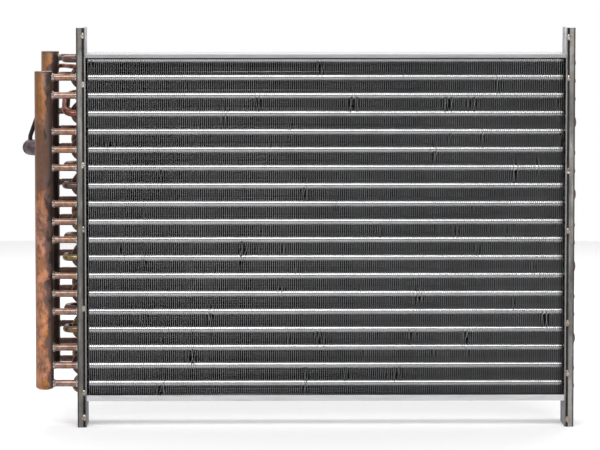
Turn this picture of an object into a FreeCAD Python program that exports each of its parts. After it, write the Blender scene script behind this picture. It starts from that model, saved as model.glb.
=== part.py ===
import FreeCAD, Part
import math
import os

# Condenser and oil cooler module: a plate-fin coil of five staggered tube rows between two
# double side plates, with two upright headers on the left. Millimetres, X along the tubes,
# Y from the front to the back, Z up. The part stands on the legs of its side plates.

# Tube pattern
tube_od = 9.525
tube_pitch = 25.4
row_pitch = 22.0
row_count = 5
tubes_per_row = 19
tube_sides = 8

# Fin stack
fin_length = 667.0
fin_above_first_tube = 6.0
fin_below_last_tube = 23.4
collar_wall = 0.64
fin_thickness = 0.4
drawn_fins = 41

# Side plates: a flat inner sheet against a channel that holds the tube ends
sheet = 1.6
sheet_gap = 3.5
plate_above_cover = 37.3
plate_below_cover = 37.0
plate_reach = 3.0
leg_depth = 70.0
flange_width = 11.4
flange_lip = 6.0
bend_inside = 2.0
mount_hole_d = 11.0
mount_hole_from_end = 12.6
mount_hole_from_front = 40.0

# Cover plates
cover = 1.0
top_lip = 4.8
bottom_lip = 8.4
cover_gap = 0.3

# Bends outside the side plates
return_reach = 14.8
hairpin_reach = 7.8
crossing_reach = 26.5

# Headers and what joins them
header_od = 25.4
header_wall = 1.6
front_header_offset = 56.0
rear_header_offset = 51.0
header_above_stub = 8.7
header_below_stub = 9.5
cap_thickness = 2.0
cap_dome = 5.0
cap_flat_r = 7.0
cap_sides = 16

# Connection pipes, round outside and flat-sided within
pipe_sides = 12
gas_od = 22.2
gas_wall = 1.2
gas_elbow = 17.4
gas_end = 135.0
gas_drop = 129.5
liquid_od = 15.9
liquid_wall = 1.0
liquid_end = 75.0
liquid_rise = 9.6

# Thin line from the coil to the gas pipe
line_od = 6.35
reducer_od = 12.0
reducer_length = 11.0
line_clear = 5.5
line_back_run = 20.0
line_fall_start = 14.0

# Tack welds in the groove between the two sheets of each side
weld_length = 9.5
weld_proud = 1.2
weld_foot = 1.2
left_weld_heights = (552.0, 483.5, 370.5, 280.0, 168.0, 49.0, 14.0)
right_weld_heights = (549.5, 492.0, 362.0, 277.5, 147.0, 76.0, 10.5)

# The header stubs, as tube numbers counted from the header's first tube
stub_pattern = (0, 1, 3, 4, 5, 7, 8, 9, 11, 12, 13, 15, 16, 17)
front_first_stub = 1
rear_first_stub = 0

# Pairs of tubes joined outside the plates, each as ((row, tube), (row, tube))
row_2_returns = [((2, i), (2, i + 1)) for i in range(0, 18, 2)]
row_3_returns = [((3, i), (3, i + 1)) for i in (4, 8, 12, 16)]
row_4_returns = [((4, i), (4, i + 1)) for i in range(2, 18, 2)]
slanted_returns = [((3, 1), (4, 1)), ((2, 18), (3, 18)), ((4, 18), (5, 18))]
front_crossings = [((1, a), (3, b)) for a, b in ((0, 0), (3, 2), (7, 7), (11, 11), (15, 15))]
rear_crossings = [((3, a), (5, b)) for a, b in ((3, 2), (6, 6), (10, 10), (14, 14))]
row_1_hairpins = [((1, i), (1, i + 1)) for i in (3, 7, 11, 15)]
outer_set = (0, 1, 2, 5, 6, 9, 10, 13, 14, 17, 18)
inner_set = (3, 4, 7, 8, 11, 12, 15, 16)
hairpins_1_to_2 = [((1, i), (2, i)) for i in outer_set]
hairpins_2_to_3 = [((2, i), (3, i)) for i in inner_set]
hairpins_3_to_4 = [((3, i), (4, i)) for i in outer_set]
hairpins_4_to_5 = [((4, i), (5, i)) for i in inner_set]
row_5_hairpins = [((5, i), (5, i + 1)) for i in (0, 5, 9, 13, 17)]
plugged_tube = (5, 2)
line_tube = (4, 0)

# Places worked out from the sizes above
tube_r = tube_od / 2
collar_r = tube_r + collar_wall
core_depth = row_count * row_pitch
cover_bottom = plate_below_cover
fin_bottom = cover_bottom + cover
last_tube_z = fin_bottom + fin_below_last_tube
first_tube_z = last_tube_z + (tubes_per_row - 1) * tube_pitch
fin_top = first_tube_z + fin_above_first_tube
cover_top = fin_top + cover
plate_height = cover_top + plate_above_cover
inner_face = fin_length / 2 + sheet_gap
web_inner = inner_face + sheet
web_outer = web_inner + sheet
plate_front = -plate_reach
plate_back = core_depth + plate_reach
header_r = header_od / 2
header_length = header_above_stub + max(stub_pattern) * tube_pitch + header_below_stub


def row_y(row):
    return (row - 0.5) * row_pitch


def tube_z(row, tube):
    stagger = 0 if row % 2 else tube_pitch / 2
    return first_tube_z - stagger - tube * tube_pitch


def vec(x, y, z):
    return FreeCAD.Vector(x, y, z)


def box(x0, x1, y0, y1, z0, z1):
    return Part.makeBox(x1 - x0, y1 - y0, z1 - z0, vec(x0, y0, z0))


def ring(centre, along, up, radius, sides):
    """The corners of a regular outline round a point, whose flats lie at the radius."""
    across = along.cross(up).normalize()
    corner = radius / math.cos(math.pi / sides)
    points = []
    for k in range(sides):
        angle = (k + 0.5) * 2 * math.pi / sides
        points.append(centre + up * (corner * math.cos(angle)) + across * (corner * math.sin(angle)))
    return points + points[:1]


def pipe_along(points, radius, sides, up):
    """A solid bar of flat sides along straight runs with mitred turns."""
    along = (points[1] - points[0]).normalize()
    profile = Part.makePolygon(ring(points[0], along, up, radius, sides))
    path = Part.makePolygon(points)
    return path.makePipeShell([profile], True, False, 1)


def straight_tube(x0, x1, row, tube, radius=tube_r):
    start = vec(x0, row_y(row), tube_z(row, tube))
    end = vec(x1, row_y(row), tube_z(row, tube))
    return pipe_along([start, end], radius, tube_sides, vec(0, 0, 1))


def u_bend(pair, side, reach):
    """A bend between two tube ends on one side: two legs, two slanted runs and a crown."""
    a, b, out, over = bend_ends(pair, side)
    turn = tube_pitch / 2 * (1 - math.tan(math.pi / 8))
    knee = out * (reach - turn)
    crown = out * reach
    points = [a, a + knee, a + crown + over * turn, b + crown - over * turn, b + knee, b]
    return pipe_along(points, tube_r, tube_sides, over.cross(out))


def low_u_bend(pair, side, reach):
    """A bend that starts inside the plate, so that only its slanted runs and crown stand out."""
    a, b, out, over = bend_ends(pair, side)
    crown = out * reach
    into_a = (out + over) * tube_od
    into_b = (out - over) * tube_od
    points = [a - into_a, a + crown + over * reach, b + crown - over * reach, b - into_b]
    bend = pipe_along(points, tube_r, tube_sides, over.cross(out))
    behind = sorted((side * web_outer, side * (web_outer - 3 * tube_od)))
    return bend.cut(box(behind[0], behind[1], plate_front, plate_back, 0, plate_height))


def bend_ends(pair, side):
    """The two tube ends on the plate, the way out of it and the way from one end to the other."""
    (row_a, tube_a), (row_b, tube_b) = pair
    a = vec(side * web_outer, row_y(row_a), tube_z(row_a, tube_a))
    b = vec(side * web_outer, row_y(row_b), tube_z(row_b, tube_b))
    return a, b, vec(side, 0, 0), (b - a).normalize()


def group(solids):
    return Part.makeCompound(solids)


def collar_points(y, z, out):
    """Half of a flat-sided collar that stands out of the stack's face towards the front or back."""
    flat = collar_r * math.tan(math.pi / tube_sides)
    upper = [(0, collar_r), (flat, collar_r), (collar_r, flat)]
    steps = upper + [(dy, -dz) for dy, dz in reversed(upper)]
    return [vec(0, y + out * dy, z + dz) for dy, dz in steps]


def stack_outline():
    """The fin stack's section: collar bars with troughs between them, front and back."""
    front = row_y(1)
    back = row_y(row_count)
    points = [vec(0, front, fin_top)]
    for i in range(tubes_per_row):
        points += collar_points(front, tube_z(1, i), -1)
    points += [vec(0, front, fin_bottom), vec(0, back, fin_bottom)]
    for i in reversed(range(tubes_per_row)):
        points += reversed(collar_points(back, tube_z(row_count, i), 1))
    points += [vec(0, back, fin_top), vec(0, front, fin_top)]
    return Part.Face(Part.makePolygon(points))


def make_fin_stack():
    """The stack with its collars, drawn in one, and bored for the two outer tube rows."""
    block = stack_outline().extrude(vec(fin_length, 0, 0))
    block.translate(vec(-fin_length / 2, 0, 0))
    bores = []
    for row in (1, row_count):
        for i in range(tubes_per_row):
            bores.append(straight_tube(-fin_length / 2 - 1, fin_length / 2 + 1, row, i))
    return block.cut(group(bores))


def make_fin_edges(y0, y1):
    """Some of the fins' edges, standing in front of the collars."""
    fins = []
    pitch = (fin_length - fin_thickness) / (drawn_fins - 1)
    for k in range(drawn_fins):
        x = -fin_length / 2 + k * pitch
        fins.append(box(x, x + fin_thickness, y0, y1, fin_bottom, fin_top))
    return group(fins)


def make_row_tubes(row):
    return group([straight_tube(-inner_face, inner_face, row, i) for i in range(tubes_per_row)])


def mount_hole(side):
    """A round cutter through both sheets of one side, near the plate's top."""
    y = plate_front + mount_hole_from_front
    z = plate_height - mount_hole_from_end
    start = vec(side * (inner_face - sheet), y, z)
    return Part.makeCylinder(mount_hole_d / 2, 4 * sheet, start, vec(side, 0, 0))


def plate_cuts(side):
    """What is cut from one side: the mounting hole, and the corners behind its narrower legs."""
    x0, x1 = sorted((side * (inner_face - sheet), side * (web_inner + flange_width + sheet)))
    leg_back = plate_front + leg_depth
    beyond = plate_back + sheet
    below = box(x0, x1, leg_back, beyond, -sheet, cover_bottom)
    above = box(x0, x1, leg_back, beyond, cover_top, plate_height + sheet)
    return [mount_hole(side), below, above]


def make_inner_sheet(side):
    x0 = min(side * inner_face, side * web_inner)
    plate = box(x0, x0 + sheet, plate_front, plate_back, 0, plate_height)
    return plate.cut(plate_cuts(side))


def channel_outline():
    """The right channel's section, a web with two flanges whose free edges turn inward."""
    outer = bend_inside + sheet
    tip = web_inner + flange_width
    x = [web_inner, web_inner + outer, tip - outer, tip]

    def arc(ax, ay, mx, my, bx, by):
        return Part.Arc(vec(ax, ay, 0), vec(mx, my, 0), vec(bx, by, 0)).toShape()

    def line(ax, ay, bx, by):
        return Part.makeLine(vec(ax, ay, 0), vec(bx, by, 0))

    diagonal = math.sqrt(0.5)

    def half(face, sign):
        """One flange from the web's outside to the lip and back along the inside."""
        yo = face + sign * outer
        yi = face + sign * sheet
        xo = x[1] - outer * diagonal
        xi = x[1] - bend_inside * diagonal
        xr = x[2] + outer * diagonal
        xs = x[2] + bend_inside * diagonal
        yd = yo - sign * outer * diagonal
        ys = yo - sign * bend_inside * diagonal
        lip = face + sign * flange_lip
        outside = [arc(x[0], yo, xo, yd, x[1], face), line(x[1], face, x[2], face)]
        outside += [arc(x[2], face, xr, yd, x[3], yo), line(x[3], yo, x[3], lip)]
        outside += [line(x[3], lip, x[3] - sheet, lip), line(x[3] - sheet, lip, x[3] - sheet, yo)]
        inside = [arc(x[3] - sheet, yo, xs, ys, x[2], yi), line(x[2], yi, x[1], yi)]
        inside += [arc(x[1], yi, xi, ys, x[0] + sheet, yo)]
        return outside + inside

    edges = half(plate_front, 1)
    edges.append(line(web_outer, plate_front + outer, web_outer, plate_back - outer))
    edges += half(plate_back, -1)
    edges.append(line(x[0], plate_front + outer, x[0], plate_back - outer))
    return Part.Face(Part.Wire(Part.__sortEdges__(edges)))


def make_channel(side):
    channel = channel_outline().extrude(vec(0, 0, plate_height))
    if side < 0:
        channel = channel.mirror(vec(0, 0, 0), vec(1, 0, 0))
    return channel.cut(plate_cuts(side))


def make_welds(side, heights):
    """Tack welds across the groove, from the inner sheet's edge to the channel's flange."""
    low = web_inner - sheet / 2
    high = web_inner + bend_inside + sheet + weld_foot
    base = vec(side * low, plate_front, 0)
    outline = [base, vec(side * high, plate_front, 0)]
    outline.append(vec(side * (high - weld_proud), plate_front - weld_proud, 0))
    outline.append(vec(side * (low + weld_proud), plate_front - weld_proud, 0))
    outline.append(base)
    section = Part.Face(Part.makePolygon(outline))
    welds = []
    for z in heights:
        weld = section.extrude(vec(0, 0, weld_length))
        weld.translate(vec(0, 0, z - weld_length / 2))
        welds.append(weld)
    return group(welds)


def make_cover(z0, lip_to):
    """A cover plate with a lip along its front and back edges."""
    half_length = inner_face - cover_gap
    plate = box(-half_length, half_length, -cover, core_depth + cover, z0, z0 + cover)
    lip_low = min(z0, lip_to)
    lip_high = max(z0 + cover, lip_to)
    front_lip = box(-half_length, half_length, -cover, 0, lip_low, lip_high)
    back_lip = box(-half_length, half_length, core_depth, core_depth + cover, lip_low, lip_high)
    return plate.fuse([front_lip, back_lip]).removeSplitter()


def header_x(row):
    """The rear header stands closer to the plate than the front one."""
    return -(web_outer + (front_header_offset if row == 1 else rear_header_offset))


def header_top(row):
    first = front_first_stub if row == 1 else rear_first_stub
    return tube_z(row, first) + header_above_stub


def make_header(row):
    """An open tube; its ends are closed by the caps."""
    top = header_top(row) - cap_thickness
    bottom = header_top(row) - header_length + cap_dome
    start = vec(header_x(row), row_y(row), bottom)
    tube = Part.makeCylinder(header_r, top - bottom, start)
    return tube.cut(Part.makeCylinder(header_r - header_wall, top - bottom, start))


def dome(foot):
    """The closed end below a header: a tapered plug whose corners lie on the header's wall."""
    up = vec(0, 0, 1)
    to_corner = math.cos(math.pi / cap_sides)
    low = ring(foot, up, vec(1, 0, 0), cap_flat_r * to_corner, cap_sides)
    high = ring(foot + up * cap_dome, up, vec(1, 0, 0), header_r * to_corner, cap_sides)
    outlines = [low, high]
    for k in range(cap_sides):
        outlines.append([low[k], low[k + 1], high[k + 1], high[k], low[k]])
    return Part.makeSolid(Part.makeShell([Part.Face(Part.makePolygon(outline)) for outline in outlines]))


def make_header_caps():
    """A flat cap on top of each header and a domed one below it."""
    caps = []
    for row in (1, row_count):
        top = header_top(row)
        bottom = top - header_length
        under_top = vec(header_x(row), row_y(row), top - cap_thickness)
        caps.append(Part.makeCylinder(header_r, cap_thickness, under_top))
        caps.append(dome(vec(header_x(row), row_y(row), bottom)))
    return group(caps)


def make_stubs(row, first):
    stubs = []
    for step in stub_pattern:
        stubs.append(straight_tube(header_x(row) + header_r, -web_outer, row, first + step))
    return group(stubs)


def gas_height():
    return first_tube_z - gas_drop


def gas_x():
    return header_x(row_count) - header_r - gas_elbow


def line_behind():
    """Where the thin line passes behind the rear header."""
    return row_y(row_count) + header_r + line_clear


def make_gas_pipe():
    """The elbow on the rear header, and the open pipe end that points to the back."""
    y = row_y(row_count)
    z = gas_height()
    turn = gas_elbow * (1 - math.tan(math.pi / 8))
    round_from = vec(gas_x(), line_behind() + line_od, z)
    way = [vec(gas_x() + gas_elbow, y, z), vec(gas_x() + turn, y, z), vec(gas_x(), y + turn, z)]
    outside = gas_od / 2
    # The flat-sided elbow keeps its corners within the round pipe, so that a sleeve slides on to it
    to_corner = math.cos(math.pi / pipe_sides)
    elbow = pipe_along(way + [round_from], outside * to_corner, pipe_sides, vec(0, 0, 1))
    pipe_end = Part.makeCylinder(outside, gas_end - round_from.y, round_from, vec(0, 1, 0))
    inside = (outside - gas_wall) * to_corner
    hollow = pipe_along(way + [vec(gas_x(), gas_end, z)], inside, pipe_sides, vec(0, 0, 1))
    return elbow.fuse(pipe_end).cut(hollow)


def make_liquid_pipe():
    z = header_top(1) - header_length + cap_dome + liquid_rise
    start = vec(header_x(1), row_y(1) + header_r, z)
    end = vec(header_x(1), liquid_end, z)
    tube = Part.makeCylinder(liquid_od / 2, end.y - start.y, start, vec(0, 1, 0))
    return tube.cut(pipe_along([start, end], liquid_od / 2 - liquid_wall, pipe_sides, vec(0, 0, 1)))


def make_line_reducer():
    row, tube = line_tube
    return straight_tube(-web_outer - reducer_length, -web_outer, row, tube, reducer_od / 2)


def make_line():
    """The thin line: out of the coil, round behind the rear header and down onto the gas pipe."""
    row, tube = line_tube
    z = tube_z(row, tube)
    x = -web_outer - reducer_length
    behind = line_behind()
    land = gas_height() + gas_od / 2
    points = [vec(x, row_y(row), z)]
    points.append(vec(x - tube_r, row_y(row), z))
    points.append(vec(x - line_back_run, behind, z))
    points.append(vec(x - line_back_run - line_fall_start, behind, z))
    points.append(vec(gas_x(), behind, land + line_od))
    points.append(vec(gas_x(), behind, land))
    return pipe_along(points, line_od / 2, tube_sides, vec(0, 0, 1))


def make_plug():
    row, tube = plugged_tube
    return straight_tube(web_outer, web_outer + hairpin_reach, row, tube)


def return_bends(pairs, reach):
    """Bends on the left, brazed on the tube ends."""
    return group([u_bend(pair, -1, reach) for pair in pairs])


def hairpin_bends(pairs):
    """Bends on the right, where each tube turns back on itself."""
    return group([low_u_bend(pair, 1, hairpin_reach) for pair in pairs])


def build():
    collar_front = row_y(1) - collar_r
    collar_back = row_y(row_count) + collar_r
    return {
        "fin_stack": make_fin_stack(),
        "front_fin_edges": make_fin_edges(0, collar_front),
        "rear_fin_edges": make_fin_edges(collar_back, core_depth),
        "front_row_tubes": make_row_tubes(1),
        "rear_row_tubes": make_row_tubes(row_count),
        "left_inner_sheet": make_inner_sheet(-1),
        "right_inner_sheet": make_inner_sheet(1),
        "left_channel": make_channel(-1),
        "right_channel": make_channel(1),
        "left_tack_welds": make_welds(-1, left_weld_heights),
        "right_tack_welds": make_welds(1, right_weld_heights),
        "top_cover": make_cover(fin_top, cover_top - top_lip),
        "bottom_cover": make_cover(cover_bottom, cover_bottom + bottom_lip),
        "front_header": make_header(1),
        "rear_header": make_header(row_count),
        "header_caps": make_header_caps(),
        "front_header_stubs": make_stubs(1, front_first_stub),
        "rear_header_stubs": make_stubs(row_count, rear_first_stub),
        "row_2_return_bends": return_bends(row_2_returns, return_reach),
        "row_3_return_bends": return_bends(row_3_returns, return_reach),
        "row_4_return_bends": return_bends(row_4_returns, return_reach),
        "slanted_return_bends": return_bends(slanted_returns, return_reach),
        "front_crossing_bends": return_bends(front_crossings, crossing_reach),
        "rear_crossing_bends": return_bends(rear_crossings, crossing_reach),
        "row_1_hairpin_bends": hairpin_bends(row_1_hairpins),
        "row_1_to_2_hairpin_bends": hairpin_bends(hairpins_1_to_2),
        "row_2_to_3_hairpin_bends": hairpin_bends(hairpins_2_to_3),
        "row_3_to_4_hairpin_bends": hairpin_bends(hairpins_3_to_4),
        "row_4_to_5_hairpin_bends": hairpin_bends(hairpins_4_to_5),
        "row_5_hairpin_bends": hairpin_bends(row_5_hairpins),
        "tube_plug": make_plug(),
        "gas_pipe": make_gas_pipe(),
        "liquid_pipe": make_liquid_pipe(),
        "line_reducer": make_line_reducer(),
        "thin_line": make_line(),
    }


def main():
    os.makedirs("parts", exist_ok=True)
    nodes = build()
    whole = group(list(nodes.values())).BoundBox
    shift = vec(-(whole.XMin + whole.XMax) / 2, -(whole.YMin + whole.YMax) / 2, -whole.ZMin)
    for name, shape in nodes.items():
        shape.translate(shift)
        shape.exportStep("parts/" + name + ".step")


main()
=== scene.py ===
"""The looks of a condenser and oil cooler: fins, round tubes and bends, headers, plates and stage."""

import math

import bmesh
import bpy
from bpy.props import FloatProperty, FloatVectorProperty, IntProperty, PointerProperty
from mathutils import Matrix, Vector, noise


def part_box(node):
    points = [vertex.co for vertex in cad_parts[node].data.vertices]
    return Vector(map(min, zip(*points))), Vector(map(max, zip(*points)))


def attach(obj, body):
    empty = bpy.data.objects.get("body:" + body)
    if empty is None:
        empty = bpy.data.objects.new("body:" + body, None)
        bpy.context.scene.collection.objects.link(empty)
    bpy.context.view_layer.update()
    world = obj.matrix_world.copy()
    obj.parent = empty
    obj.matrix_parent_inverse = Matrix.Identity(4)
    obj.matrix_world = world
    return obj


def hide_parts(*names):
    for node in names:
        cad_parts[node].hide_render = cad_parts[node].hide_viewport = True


bl_info = {
    "name": "Condenser and oil cooler module",
    "version": (1, 0, 0),
    "blender": (4, 5, 0),
    "location": "3D View > Sidebar > Coil",
    "description": "Builds the fins, tubes, bends, headers and finishes of a finned copper coil",
    "category": "Object",
}

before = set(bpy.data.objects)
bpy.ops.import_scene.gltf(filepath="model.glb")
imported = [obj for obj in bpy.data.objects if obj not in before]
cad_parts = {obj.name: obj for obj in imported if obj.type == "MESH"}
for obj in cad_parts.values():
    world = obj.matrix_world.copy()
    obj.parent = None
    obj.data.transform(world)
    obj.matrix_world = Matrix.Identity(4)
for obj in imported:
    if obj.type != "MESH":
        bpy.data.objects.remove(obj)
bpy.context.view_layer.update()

# Sizes of the coil, in metres, as the solids have them
tube_radius = 0.0047625
tube_pitch = 0.0254
row_pitch = 0.022
tube_count = 19
row_count = 5
sheet = 0.0016
cap_thickness = 0.002
line_radius = 0.003175

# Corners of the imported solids
coil_low, coil_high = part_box("fin_stack")
front_edge_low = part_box("front_fin_edges")[0]
rear_edge_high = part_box("rear_fin_edges")[1]
tubes_low, tubes_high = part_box("front_row_tubes")
header_low, header_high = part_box("front_header")
rear_header_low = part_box("rear_header")[0]
caps_low, caps_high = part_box("header_caps")
bottom_cover_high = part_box("bottom_cover")[1]
top_cover_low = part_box("top_cover")[0]
gas_low, gas_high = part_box("gas_pipe")
liquid_low, liquid_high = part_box("liquid_pipe")
line_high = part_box("thin_line")[1]
reducer_low, reducer_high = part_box("line_reducer")
plug_low, plug_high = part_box("tube_plug")
plate_low, plate_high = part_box("left_channel")
right_plate_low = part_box("right_channel")[0]

# The ways along the axes
rightward = Vector((1, 0, 0))
leftward = Vector((-1, 0, 0))
backward = Vector((0, 1, 0))
upward = Vector((0, 0, 1))

# Places that follow from the corners; the header rows are row 1 at the front and row 5 at the rear
first_tube_z = tubes_high.z - tube_radius
first_row_y = (tubes_low.y + tubes_high.y) / 2
left_web = plate_high.x - sheet
right_web = right_plate_low.x + sheet
coil_middle_y = (front_edge_low.y + rear_edge_high.y) / 2
coil_half_depth = (rear_edge_high.y - front_edge_low.y) / 2
plate_middle_y = (plate_low.y + plate_high.y) / 2
plate_half_depth = (plate_high.y - plate_low.y) / 2
header_radius = (header_high.x - header_low.x) / 2
header_places = {1: Vector((header_low.x + header_radius, header_low.y + header_radius, 0)),
                 5: Vector((rear_header_low.x + header_radius, rear_header_low.y + header_radius, 0))}
header_bottoms = {1: header_low.z, 5: rear_header_low.z}
header_tops = {1: header_high.z + cap_thickness, 5: caps_high.z}

# Heights of the tack welds on the left side, -1, and on the right side, 1
weld_heights = {
    -1: (0.552, 0.4835, 0.3705, 0.280, 0.168, 0.049, 0.014),
    1: (0.5495, 0.492, 0.362, 0.2775, 0.147, 0.076, 0.0105),
}

# The stubs, as tube numbers counted from each header's first tube
stub_pattern = (0, 1, 3, 4, 5, 7, 8, 9, 11, 12, 13, 15, 16, 17)
first_stub = {1: 1, 5: 0}

# Pairs of tubes joined outside the plates, each as ((row, tube), (row, tube))
outer_set = (0, 1, 2, 5, 6, 9, 10, 13, 14, 17, 18)
inner_set = (3, 4, 7, 8, 11, 12, 15, 16)
return_pairs = {
    "row_2_return_bends": [((2, i), (2, i + 1)) for i in range(0, 18, 2)],
    "row_3_return_bends": [((3, i), (3, i + 1)) for i in (4, 8, 12, 16)],
    "row_4_return_bends": [((4, i), (4, i + 1)) for i in range(2, 18, 2)],
    "slanted_return_bends": [((3, 1), (4, 1)), ((2, 18), (3, 18)), ((4, 18), (5, 18))],
}
crossing_pairs = {
    "front_crossing_bends": [((1, a), (3, b)) for a, b in ((0, 0), (3, 2), (7, 7), (11, 11), (15, 15))],
    "rear_crossing_bends": [((3, a), (5, b)) for a, b in ((3, 2), (6, 6), (10, 10), (14, 14))],
}
hairpin_pairs = {
    "row_1_hairpin_bends": [((1, i), (1, i + 1)) for i in (3, 7, 11, 15)],
    "row_1_to_2_hairpin_bends": [((1, i), (2, i)) for i in outer_set],
    "row_2_to_3_hairpin_bends": [((2, i), (3, i)) for i in inner_set],
    "row_3_to_4_hairpin_bends": [((3, i), (4, i)) for i in outer_set],
    "row_4_to_5_hairpin_bends": [((4, i), (5, i)) for i in inner_set],
    "row_5_hairpin_bends": [((5, i), (5, i + 1)) for i in (0, 5, 9, 13, 17)],
}
line_tube = (4, 0)
plugged_tube = (5, 2)

# Outlines on a tube or header, each as (distance along it, height above its wall)
stub_cup = ((-0.0115, 0.0), (-0.0098, 0.000315), (-0.0088, 0.000315), (0.0, 0.000315))
header_solder = ((-0.0012, 0.0018), (0.0002, 0.0013), (0.0013, 0.0006), (0.0024, 0.0001))
cup_solder = ((-0.0120, 0.0001), (-0.0112, 0.0008), (-0.0098, 0.0009), (-0.0090, 0.0003))
braze_collar = ((-0.0004, 0.0009), (0.0011, 0.0008), (0.0019, 0.0002))
header_rim = ((-0.0022, 0.0), (-0.0018, -0.0002), (-0.0014, 0.0), (-0.0006, 0.0), (0.0, -0.0008))

# Edges that turn by more than this stay sharp
sharp_angle = math.radians(40)

# How far pieces reach into the header that carries them, and the pipes' open ends
stub_root = 0.0016
gas_root = 0.003
liquid_root = 0.002
gas_wall = 0.0012
liquid_wall = 0.001
bore_depth = 0.03

# The stage: each lamp's name, place, size and power; the camera stands as the photograph's did
lamp_target = (0, 0, 0.3)
lamps = (
    ("Key", (-0.1, -2.6, 2.6), (3.6, 1.8), 108),
    ("Left fill", (-3.0, -1.6, 1.5), (1.2, 1.6), 10),
    ("Back", (0.2, 2.2, 2.6), (2.6, 1.4), 50),
)
floor_radius = 3.2
floor_glow = 0.24
curtain_radius = 7.0
curtain_height = 3.2
room_strength = 0.7
camera_place = (-0.0692, -5.3404, 0.6969)
camera_lens = 225.85
camera_tilt = math.radians(90 - 4.4545)
camera_turn = math.radians(-0.7895)


def tube_end(side_x, row, tube):
    """Where a tube's axis crosses an upright plane of the plates."""
    stagger = 0 if row % 2 else tube_pitch / 2
    return Vector((side_x, first_row_y + (row - 1) * row_pitch, first_tube_z - stagger - tube * tube_pitch))


# Sizes and colours that can be changed in the sidebar

class CoilSizes(bpy.types.PropertyGroup):
    """Sizes of the fins, tubes, bends and welds"""
    fin_pitch: FloatProperty(name="Fin pitch", description="Distance from fin to fin",
                             default=0.00294, min=0.0015, unit="LENGTH")
    fin_thickness: FloatProperty(name="Fin thickness", description="Thickness of one fin",
                                 default=0.00026, min=0.0001, unit="LENGTH")
    collar_radius: FloatProperty(name="Collar radius", description="Outer radius of the fin collars",
                                 default=0.0054, min=0.0048, unit="LENGTH")
    fin_bend: FloatProperty(name="Bent edges", description="How far the most bent fin edges lean over",
                            default=0.0011, min=0.0, unit="LENGTH")
    turn_radius: FloatProperty(name="Bend radius", description="Radius of the bends at the tube's axis",
                               default=0.0127, min=0.01, unit="LENGTH")
    return_reach: FloatProperty(name="Return bend reach", description="How far return bends stand out",
                                default=0.0148, min=0.0127, unit="LENGTH")
    crossing_reach: FloatProperty(name="Crossing bend reach",
                                  description="How far crossing bends stand out",
                                  default=0.0265, min=0.0254, unit="LENGTH")
    hairpin_reach: FloatProperty(name="Hairpin reach", description="How far hairpin bends stand out",
                                 default=0.0078, min=0.002, unit="LENGTH")
    weld_length: FloatProperty(name="Weld length", description="Height of one tack weld",
                               default=0.0095, min=0.004, unit="LENGTH")
    round_steps: IntProperty(name="Tube facets", description="Facets round one tube",
                             default=18, min=8, max=48)


class CoilColours(bpy.types.PropertyGroup):
    """Colours of the aluminium, copper, steel, solder and floor"""
    fin: FloatVectorProperty(name="Fin", description="Colour of the aluminium fins",
                             subtype="COLOR", default=(0.56, 0.56, 0.57))
    collar: FloatVectorProperty(name="Collar", description="Colour of the fin collars",
                                subtype="COLOR", default=(0.56, 0.56, 0.57))
    header: FloatVectorProperty(name="Header copper", description="The headers where they are clean",
                                subtype="COLOR", default=(0.70, 0.29, 0.14))
    header_ochre: FloatVectorProperty(name="Ochre copper", description="Ochre patches on the headers",
                                      subtype="COLOR", default=(0.29, 0.132, 0.036))
    header_orange: FloatVectorProperty(name="Orange copper", description="Orange patches on the headers",
                                       subtype="COLOR", default=(0.78, 0.29, 0.045))
    header_pink: FloatVectorProperty(name="Pinkish copper", description="Pinkish patches on the headers",
                                     subtype="COLOR", default=(0.58, 0.29, 0.21))
    header_grey: FloatVectorProperty(name="Grey copper", description="Purple grey of the heated headers",
                                     subtype="COLOR", default=(0.13, 0.08, 0.062))
    stain: FloatVectorProperty(name="Heat stain", description="Dark stain left by brazing",
                               subtype="COLOR", default=(0.118, 0.079, 0.068))
    stub: FloatVectorProperty(name="Stub copper", description="Pinkish copper of the stubs",
                              subtype="COLOR", default=(0.33, 0.21, 0.175))
    bend: FloatVectorProperty(name="Bend copper", description="Wine red copper of the bends",
                              subtype="COLOR", default=(0.25, 0.085, 0.06))
    bend_brown: FloatVectorProperty(name="Brown copper", description="Dark brown of the most heated bends",
                                    subtype="COLOR", default=(0.115, 0.070, 0.058))
    bend_brass: FloatVectorProperty(name="Tarnished copper", description="Olive tarnish on some bends",
                                    subtype="COLOR", default=(0.28, 0.20, 0.09))
    plate: FloatVectorProperty(name="Side plates", description="Galvanised sheet of the side plates",
                               subtype="COLOR", default=(0.24, 0.232, 0.222))
    inner_sheet: FloatVectorProperty(name="Inner sheets", description="Bright sheets next to the fins",
                                     subtype="COLOR", default=(0.54, 0.54, 0.56))
    cover: FloatVectorProperty(name="Covers", description="Colour of the top and bottom covers",
                               subtype="COLOR", default=(0.56, 0.56, 0.57))
    weld: FloatVectorProperty(name="Weld", description="Colour of the tack welds",
                              subtype="COLOR", default=(0.36, 0.31, 0.26))
    solder: FloatVectorProperty(name="Solder", description="Colour of the solder rings",
                                subtype="COLOR", default=(0.42, 0.39, 0.37))
    pipe: FloatVectorProperty(name="Pipe copper", description="Purple grey pipes beyond the headers",
                              subtype="COLOR", default=(0.125, 0.088, 0.098))
    floor: FloatVectorProperty(name="Floor", description="Colour of the floor",
                               subtype="COLOR", default=(0.93, 0.93, 0.93))


def sizes():
    return bpy.context.scene.coil_sizes


def colours():
    return bpy.context.scene.coil_colours


# Shapes

def edges_between(verts):
    """The edges whose two ends are both among these vertices."""
    inside = set(verts)
    around = {edge for vert in verts for edge in vert.link_edges}
    return [edge for edge in around if edge.verts[0] in inside and edge.verts[1] in inside]


def ring(bm, centre, way, radius, steps):
    """A circle of edges that faces along a way."""
    place = Matrix.Translation(centre) @ way.to_track_quat("Z", "Y").to_matrix().to_4x4()
    made = bmesh.ops.create_circle(bm, segments=steps, radius=radius, matrix=place)
    return edges_between(made["verts"])


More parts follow.
